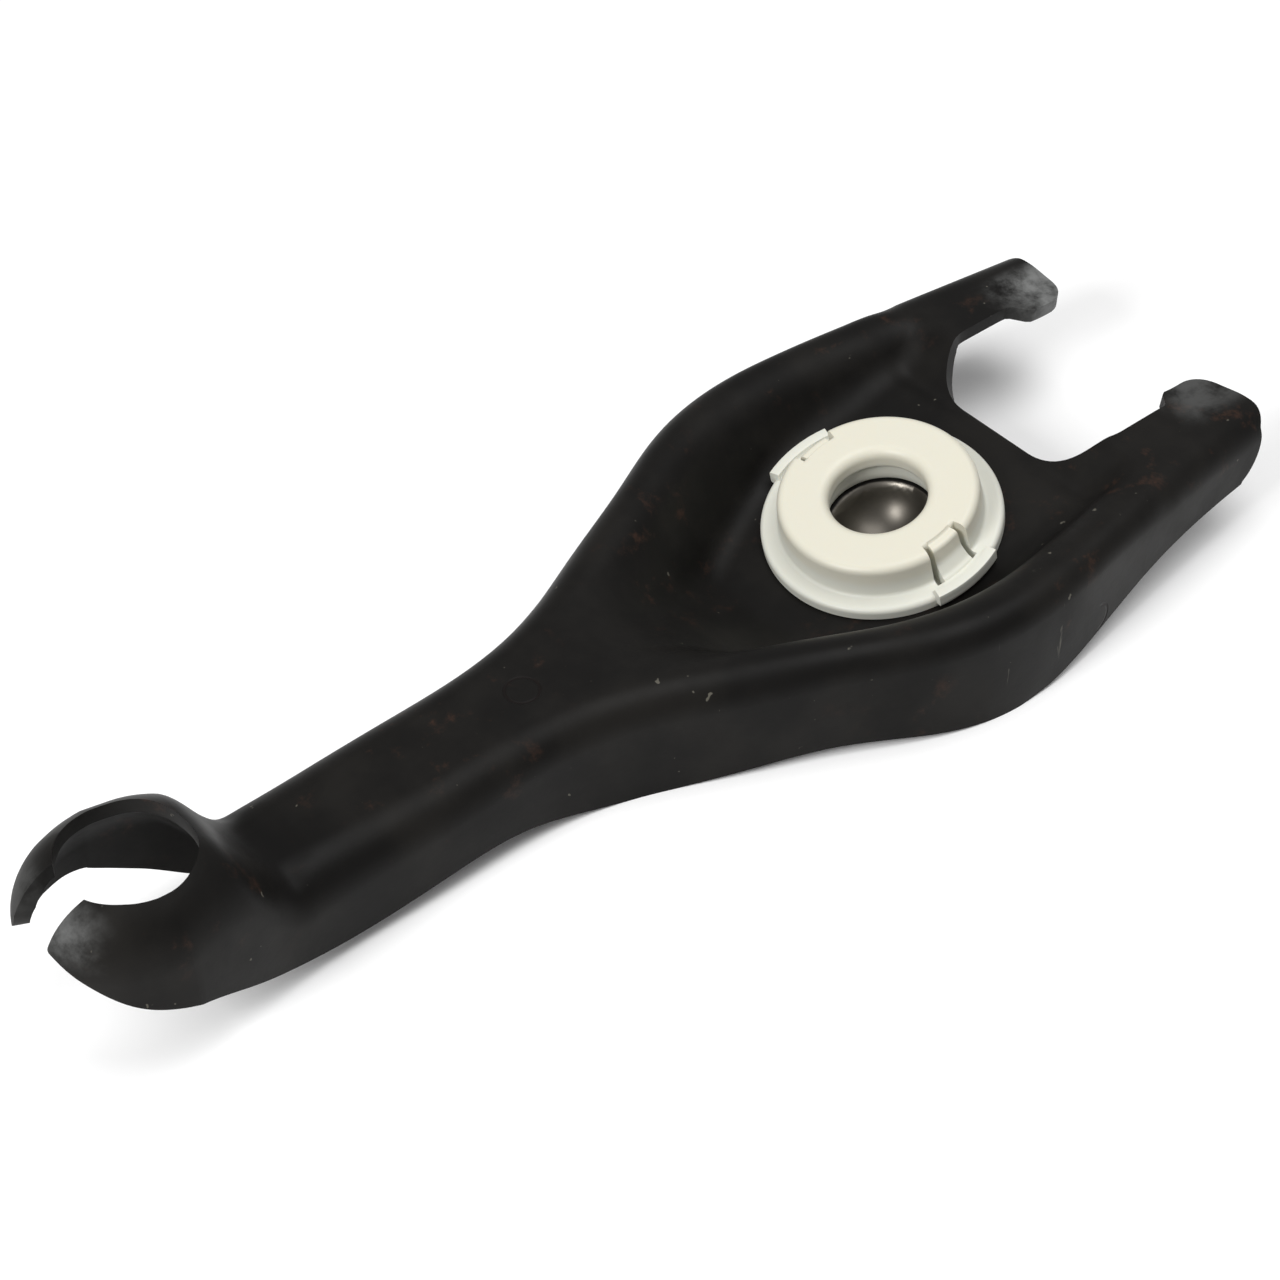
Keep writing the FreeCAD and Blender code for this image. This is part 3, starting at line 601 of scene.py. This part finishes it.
def mesh_object(name, points, polygons, material):
    """Make a mesh object from points in millimetres and lists of their numbers."""
    mesh = bpy.data.meshes.new(name)
    mesh.from_pydata((np.asarray(points) * MM).tolist(), [], polygons)
    mesh.validate()
    mesh.update()
    piece = bpy.data.objects.new(name, mesh)
    bpy.context.scene.collection.objects.link(piece)
    mesh.materials.append(material)
    return piece


def shade_smooth(piece, angle):
    """Shade smooth across edges flatter than an angle."""
    for other in bpy.context.selected_objects:
        other.select_set(False)
    piece.select_set(True)
    bpy.context.view_layer.objects.active = piece
    bpy.ops.object.shade_smooth_by_angle(angle=angle)


# bends sharper than these are edges, on the sheet and on the retainer
CUT_ANGLE = math.radians(50.0)
MOULD_ANGLE = math.radians(38.0)


def nodes_of(material):
    """Clear a material's tree and return it with a new shader joined to its output."""
    material.use_nodes = True
    tree = material.node_tree
    tree.nodes.clear()
    output = tree.nodes.new("ShaderNodeOutputMaterial")
    shader = tree.nodes.new("ShaderNodeBsdfPrincipled")
    tree.links.new(shader.outputs[0], output.inputs[0])
    return tree, shader


class Tree:
    """A material's node tree, with short ways to add the nodes that the finishes share."""

    def __init__(self, name):
        """Make a material with an empty tree and a shader."""
        self.material = bpy.data.materials.new(name)
        self.tree, self.shader = nodes_of(self.material)
        self.place = self.add("ShaderNodeTexCoord").outputs["Object"]

    def add(self, kind, **values):
        """Add a node and set or link its inputs by name."""
        node = self.tree.nodes.new(kind)
        for name, value in values.items():
            self.put(node.inputs[name.replace("_", " ")], value)
        return node

    def put(self, socket, value):
        """Link an output to a socket, or set the socket's value."""
        if isinstance(value, bpy.types.NodeSocket):
            self.tree.links.new(value, socket)
        else:
            socket.default_value = value

    def maths(self, operation, one, two=0.0, three=0.0):
        """Work out one number from up to three."""
        node = self.add("ShaderNodeMath")
        node.operation = operation
        for socket, value in zip(node.inputs, (one, two, three)):
            self.put(socket, value)
        return node.outputs[0]

    def span(self, value, low, high, first=0.0, last=1.0):
        """Bring a number from one range into another, smoothly and held at the ends."""
        node = self.add("ShaderNodeMapRange")
        node.interpolation_type = "SMOOTHSTEP"
        for socket, number in zip(node.inputs, (value, low, high, first, last)):
            self.put(socket, number)
        return node.outputs[0]

    def noise(self, scale, detail=4.0, stretch=(1.0, 1.0, 1.0), roughness=0.55):
        """Cloudy noise on the object's coordinates, stretched along its axes."""
        mapping = self.add("ShaderNodeMapping", Vector=self.place, Scale=stretch)
        node = self.add("ShaderNodeTexNoise", Vector=mapping.outputs[0], Scale=scale, Detail=detail,
                        Roughness=roughness)
        return node.outputs["Fac"]

    def distance(self, centre, stretch=(1.0, 1.0, 1.0)):
        """Distance in millimetres from a point, with the axes stretched."""
        shift = self.add("ShaderNodeVectorMath", Vector=self.place)
        shift.operation = "SUBTRACT"
        shift.inputs[1].default_value = [value * MM for value in centre]
        scaled = self.tree.nodes.new("ShaderNodeVectorMath")
        scaled.operation = "MULTIPLY"
        self.put(scaled.inputs[0], shift.outputs[0])
        scaled.inputs[1].default_value = [value / MM for value in stretch]
        length = self.tree.nodes.new("ShaderNodeVectorMath")
        length.operation = "LENGTH"
        self.put(length.inputs[0], scaled.outputs[0])
        return length.outputs["Value"]

    def mixed(self, share, first, second):
        """Mix two colours."""
        node = self.tree.nodes.new("ShaderNodeMix")
        node.data_type = "RGBA"
        for index, value in ((0, share), (6, first), (7, second)):
            self.put(node.inputs[index], (*value, 1.0) if isinstance(value, tuple) else value)
        return node.outputs[2]


# tones of the steel's marks; the groove tone is painted shade in the coined rings, and the heat tint also
# serves as a painted highlight on the near fingertip
RUST = (0.055, 0.026, 0.016)
HEAT_TINT_AND_HIGHLIGHT = (0.20, 0.203, 0.20)
BARE = (0.17, 0.16, 0.13)
GROOVE_SHADE = (0.005, 0.003, 0.0025)
SEAT = (0.125, 0.115, 0.100)
# centres of the coined ring on the arm and of the crescent on the near wall, in millimetres, and their radii
RING_PLACE = (-93.0, 0.0, 7.6)
RING_RADIUS = 3.3
CRESCENT_PLACE = (16.3, 0.0, -6.6)
CRESCENT_RADIUS = 3.2
# centre of the scratched patch on the near wall, and the distances at which the seat's polish starts and ends
SCRATCHED_PLACE = (-2.0, -46.0, 1.0)
POLISH = (11.9, 11.5)


def steel_material(settings):
    """Dark heat-treated pressed steel.

    Brown-black mottling with rust tints, grey-blue heat-treated pads and fingertips (the tint on the near
    finger's top also a painted highlight), a polished ball seat, fine scratches on the near side wall, two
    coined rings with painted shade in their grooves, and a satin grain.
    """
    tree = Tree("dark_pressed_steel")
    axes = tree.add("ShaderNodeSeparateXYZ", Vector=tree.place)
    x, y, z = (tree.maths("MULTIPLY", axes.outputs[k], 1.0 / MM) for k in range(3))
    colour = tree.mixed(tree.span(tree.noise(55.0, 6.0), 0.35, 0.70),
                        tuple(settings.steel_dark), tuple(settings.steel_light))
    rust = tree.maths("MULTIPLY", tree.span(tree.noise(130.0, 6.0, roughness=0.7), 0.56, 0.74),
                      tree.span(tree.noise(22.0, 2.0), 0.45, 0.62))
    colour = tree.mixed(tree.maths("MULTIPLY", rust, 0.55), colour, RUST)
    pads = tree.maths("ADD", x, tree.maths("MULTIPLY", tree.noise(70.0, 5.0), 14.0))
    pads = tree.span(pads, 62.0, 73.0)
    inner = tree.span(tree.maths("ABSOLUTE", y), 33.0, 27.0)
    # the fingertips' heat tint is strongest on the near finger's top, where it is also a painted highlight
    tips = tree.maths("ADD", x, tree.maths("MULTIPLY", tree.noise(90.0, 4.0), 9.0))
    tips = tree.span(tips, -181.5, -188.0)
    tips = tree.maths("MULTIPLY", tips, tree.maths("MULTIPLY", tree.span(z, 13.0, 20.0),
                                                   tree.span(y, 3.0, -3.0, 0.3, 1.0)))
    heat_tint_and_highlight = tree.maths("MAXIMUM", tree.maths("MULTIPLY", pads, inner), tree.maths("MULTIPLY", tips, 0.6))
    heat_tint_and_highlight = tree.maths("MULTIPLY", heat_tint_and_highlight, tree.span(tree.noise(95.0, 6.0, roughness=0.65), 0.34, 0.66))
    # the tint is dimmer on the near pad than on the far one
    heat_tint_and_highlight = tree.maths("MULTIPLY", heat_tint_and_highlight, tree.maths("MAXIMUM", tree.span(y, -30.0, 20.0, 0.30, 1.0),
                                                     tree.span(x, 0.0, -100.0)))
    colour = tree.mixed(tree.maths("MULTIPLY", heat_tint_and_highlight, 0.9), colour, HEAT_TINT_AND_HIGHLIGHT)
    lines = tree.noise(260.0, 3.0, stretch=(1.6, 1.0, 0.22), roughness=0.7)
    place = tree.distance(SCRATCHED_PLACE, (0.045, 0.05, 0.09))
    scratch = tree.maths("MULTIPLY", tree.span(lines, 0.655, 0.72), tree.span(place, 1.0, 0.3))
    specks = tree.span(tree.noise(420.0, 2.0), 0.735, 0.78)
    scratch = tree.maths("MAXIMUM", tree.maths("MULTIPLY", scratch, 0.75),
                         tree.maths("MULTIPLY", specks, 0.5))
    colour = tree.mixed(scratch, colour, BARE)
    ring = tree.maths("SUBTRACT", tree.distance(RING_PLACE, (1.0, 1.0, 0.0)), RING_RADIUS)
    ring = tree.maths("MULTIPLY", tree.span(tree.maths("ABSOLUTE", ring), 0.45, 0.1), tree.span(z, 4.0, 5.0))
    crescent = tree.maths("SUBTRACT", tree.distance(CRESCENT_PLACE, (1.0, 0.0, 1.0)), CRESCENT_RADIUS)
    crescent = tree.maths("MULTIPLY", tree.span(tree.maths("ABSOLUTE", crescent), 0.5, 0.1),
                          tree.maths("MULTIPLY", tree.span(y, -42.0, -44.0), tree.span(x, 16.4, 18.0)))
    ring = tree.maths("MAXIMUM", ring, crescent)
    # painted shade: the ring's and crescent's grooves are darkened to the groove tone, besides their bump
    colour = tree.mixed(tree.maths("MULTIPLY", ring, 0.8), colour, GROOVE_SHADE)
    seat = tree.span(tree.distance((0.0, 0.0, 0.0)), *POLISH)
    colour = tree.mixed(seat, colour, SEAT)
    tree.put(tree.shader.inputs["Base Color"], colour)
    tree.put(tree.shader.inputs["Metallic"], tree.maths("MULTIPLY", seat, 0.9))
    rough = tree.span(tree.noise(38.0, 5.0), 0.3, 0.7, 0.42, 0.56)
    rough = tree.maths("ADD", rough, tree.maths("MULTIPLY", heat_tint_and_highlight, 0.06))
    rough = tree.maths("SUBTRACT", rough, tree.maths("MULTIPLY", seat, 0.12))
    tree.put(tree.shader.inputs["Roughness"], rough)
    tree.shader.inputs["Specular IOR Level"].default_value = 0.125
    height = tree.maths("ADD", tree.maths("MULTIPLY", tree.noise(1100.0, 3.0), 0.10),
                        tree.maths("MULTIPLY", tree.noise(150.0, 3.0), 0.22))
    height = tree.maths("MULTIPLY", height, tree.maths("SUBTRACT", 1.0, tree.maths("MULTIPLY", seat, 0.8)))
    height = tree.maths("SUBTRACT", height, tree.maths("MULTIPLY", ring, 1.6))
    bump = tree.add("ShaderNodeBump", Height=height, Strength=0.5, Distance=0.3 * MM)
    tree.put(tree.shader.inputs["Normal"], bump.outputs["Normal"])
    return tree.material


def nylon_material(settings):
    """Moulded nylon: cream where it is thick, whiter on the thin flange, faintly translucent."""
    tree = Tree("cream_nylon")
    axes = tree.add("ShaderNodeSeparateXYZ", Vector=tree.place)
    x, y, z = (tree.maths("MULTIPLY", axes.outputs[k], 1.0 / MM) for k in range(3))
    above = tree.maths("SUBTRACT", tree.maths("MULTIPLY", z, math.cos(PITCH)),
                       tree.maths("MULTIPLY", x, math.sin(PITCH)))
    thick = tree.maths("MULTIPLY", tree.span(above, 1.5, 4.0),
                       tree.span(tree.noise(30.0, 2.0), 0.2, 0.8, 0.85, 1.0))
    tree.put(tree.shader.inputs["Base Color"],
             tree.mixed(thick, tuple(settings.flange), tuple(settings.nylon)))
    tree.shader.inputs["Roughness"].default_value = 0.42
    tree.shader.inputs["Specular IOR Level"].default_value = 0.4
    tree.shader.inputs["Subsurface Weight"].default_value = 0.12
    tree.shader.inputs["Subsurface Radius"].default_value = (0.004, 0.003, 0.002)
    bump = tree.add("ShaderNodeBump", Height=tree.noise(700.0, 2.0), Strength=0.15, Distance=0.1 * MM)
    tree.put(tree.shader.inputs["Normal"], bump.outputs["Normal"])
    return tree.material


class ForkSettings(bpy.types.PropertyGroup):
    """Sizes and colours that a user would change."""

    edge_round: FloatProperty(name="Edge rounding", description="Radius of the trimmed edges",
                              default=0.45 * MM, unit="LENGTH")
    steel_dark: FloatVectorProperty(name="Steel, dark", description="Darkest tone of the steel",
                                    default=(0.0038, 0.0034, 0.0030), size=3, subtype="COLOR")
    steel_light: FloatVectorProperty(name="Steel, light", description="Lightest tone of the steel",
                                     default=(0.0090, 0.0081, 0.0070), size=3, subtype="COLOR")
    nylon: FloatVectorProperty(name="Nylon", description="Colour of the retainer",
                               default=(0.66, 0.635, 0.53), size=3, subtype="COLOR")
    flange: FloatVectorProperty(name="Nylon flange", description="Colour of the retainer's thin flange",
                                default=(0.66, 0.66, 0.59), size=3, subtype="COLOR")
    floor: FloatVectorProperty(name="Floor", description="Colour of the floor",
                               default=(0.98, 0.98, 0.98), size=3, subtype="COLOR")


class FORK_OT_lever(bpy.types.Operator):
    """Build the pressed lever from its sections and give it its finish"""

    bl_idname = "fork.lever"
    bl_label = "Pressed lever"

    def execute(self, context):
        """Make the lever's skins and cut edges, then round the edges."""
        settings = context.scene.fork_settings
        outer, inner, quads, triangles = lever_shape()
        count = len(outer)
        rim = boundary_edges(quads, triangles)
        cut = np.concatenate((rim[:, ::-1], rim + count), axis=1)
        groups = (quads, triangles, quads[:, ::-1] + count, triangles[:, ::-1] + count, cut)
        polygons = [polygon for group in groups for polygon in group.tolist()]
        piece = mesh_object("pressed_lever", np.concatenate((outer, inner)), polygons,
                            steel_material(settings))
        rounding = piece.modifiers.new("edge_rounding", "BEVEL")
        rounding.width = settings.edge_round
        rounding.segments = 2
        rounding.limit_method = "ANGLE"
        rounding.angle_limit = CUT_ANGLE
        rounding.use_clamp_overlap = True
        shade_smooth(piece, CUT_ANGLE)
        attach(piece, "root")
        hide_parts("fork_lever")
        return {"FINISHED"}


class FORK_OT_retainer(bpy.types.Operator):
    """Build the moulded ball retainer with its rolled mouth and snap tabs"""

    bl_idname = "fork.retainer"
    bl_label = "Ball retainer"

    def execute(self, context):
        """Make the retainer's closed surface and give it its finish."""
        points, faces = retainer_shape()
        piece = mesh_object("moulded_retainer", points, faces.tolist(),
                            nylon_material(context.scene.fork_settings))
        shade_smooth(piece, MOULD_ANGLE)
        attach(piece, "root")
        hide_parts("ball_retainer")
        return {"FINISHED"}


# the camera, in millimetres and degrees
CAMERA_PLACE = (-294.56, -266.68, 338.67)
CAMERA_AIM = (-62.30, 2.41, 0.0)
CAMERA_ROLL = 0.765
CAMERA_LENS = 71.54
CAMERA_SENSOR = 36.0

# the floor's half width in millimetres, the world's strength, and each lamp: name, place, aim, size, watts
FLOOR_HALF_WIDTH = 4000.0
WORLD_STRENGTH = 0.44
LAMPS = (("overhead", (120.0, -120.0, 950.0), (-50.0, 0.0, 0.0), 700.0, 5.4),
         ("left", (-900.0, -60.0, 560.0), (-80.0, 0.0, 0.0), 340.0, 6.6))


def place_camera():
    """Put the camera at its place, aimed at a point and rolled about its own axis."""
    camera = bpy.data.objects.new("camera", bpy.data.cameras.new("camera"))
    bpy.context.scene.collection.objects.link(camera)
    camera.data.lens = CAMERA_LENS
    camera.data.sensor_width = CAMERA_SENSOR
    camera.data.clip_start = 0.01
    eye = Vector(CAMERA_PLACE) * MM
    back = (eye - Vector(CAMERA_AIM) * MM).normalized()
    right = Vector((0.0, 0.0, 1.0)).cross(back).normalized()
    up = back.cross(right)
    turn = Matrix((right, up, back)).transposed() @ Matrix.Rotation(math.radians(CAMERA_ROLL), 3, "Z")
    camera.matrix_world = Matrix.Translation(eye) @ turn.to_4x4()
    bpy.context.scene.camera = camera


def area_light(name, place, aim, size, power):
    """Add a square soft light at a place, aimed at a point, in millimetres and watts."""
    data = bpy.data.lights.new(name, "AREA")
    data.size = size * MM
    data.energy = power
    light = bpy.data.objects.new(name, data)
    bpy.context.scene.collection.objects.link(light)
    direction = (Vector(aim) - Vector(place)) * MM
    light.matrix_world = (Matrix.Translation(Vector(place) * MM)
                          @ direction.to_track_quat("-Z", "Y").to_matrix().to_4x4())


class FORK_OT_stage(bpy.types.Operator):
    """Lay the pale floor and set the soft light, the world and the camera"""

    bl_idname = "fork.stage"
    bl_label = "Stage"

    def execute(self, context):
        """Build the floor, lights, world and camera."""
        settings = context.scene.fork_settings
        scene = context.scene
        material = bpy.data.materials.new("floor")
        tree, shader = nodes_of(material)
        shader.inputs["Base Color"].default_value = (*settings.floor, 1.0)
        shader.inputs["Roughness"].default_value = 0.9
        shader.inputs["Specular IOR Level"].default_value = 0.1
        level = CAD_BOX[0][2] / MM
        half = FLOOR_HALF_WIDTH
        floor = mesh_object("floor", [(-half, -half, level), (half, -half, level), (half, half, level),
                                      (-half, half, level)], [(0, 1, 2, 3)], material)
        world = bpy.data.worlds.new("world")
        scene.world = world
        world.use_nodes = True
        background = world.node_tree.nodes["Background"]
        background.inputs["Color"].default_value = (1.0, 1.0, 1.0, 1.0)
        background.inputs["Strength"].default_value = WORLD_STRENGTH
        for lamp in LAMPS:
            area_light(*lamp)
        place_camera()
        scene.view_settings.view_transform = "Standard"
        return {"FINISHED"}


class FORK_PT_panel(bpy.types.Panel):
    """Sidebar panel that lists the pieces and their settings"""

    bl_label = "Clutch fork"
    bl_idname = "FORK_PT_panel"
    bl_space_type = "VIEW_3D"
    bl_region_type = "UI"
    bl_category = "Clutch fork"

    def draw(self, context):
        """List the settings and the operators."""
        settings = context.scene.fork_settings
        for name in ("edge_round", "steel_dark", "steel_light", "nylon", "flange", "floor"):
            self.layout.prop(settings, name)
        for operator in (FORK_OT_lever, FORK_OT_retainer, FORK_OT_stage):
            self.layout.operator(operator.bl_idname)


CLASSES = (ForkSettings, FORK_OT_lever, FORK_OT_retainer, FORK_OT_stage, FORK_PT_panel)


def register():
    """Register the classes and the scene's settings."""
    for cls in CLASSES:
        bpy.utils.register_class(cls)
    bpy.types.Scene.fork_settings = PointerProperty(type=ForkSettings)


def unregister():
    """Undo register."""
    del bpy.types.Scene.fork_settings
    for cls in reversed(CLASSES):
        bpy.utils.unregister_class(cls)


def main():
    """Build every piece and the stage."""
    register()
    bpy.ops.fork.lever()
    bpy.ops.fork.retainer()
    bpy.ops.fork.stage()


if __name__ == "__main__":
    main()
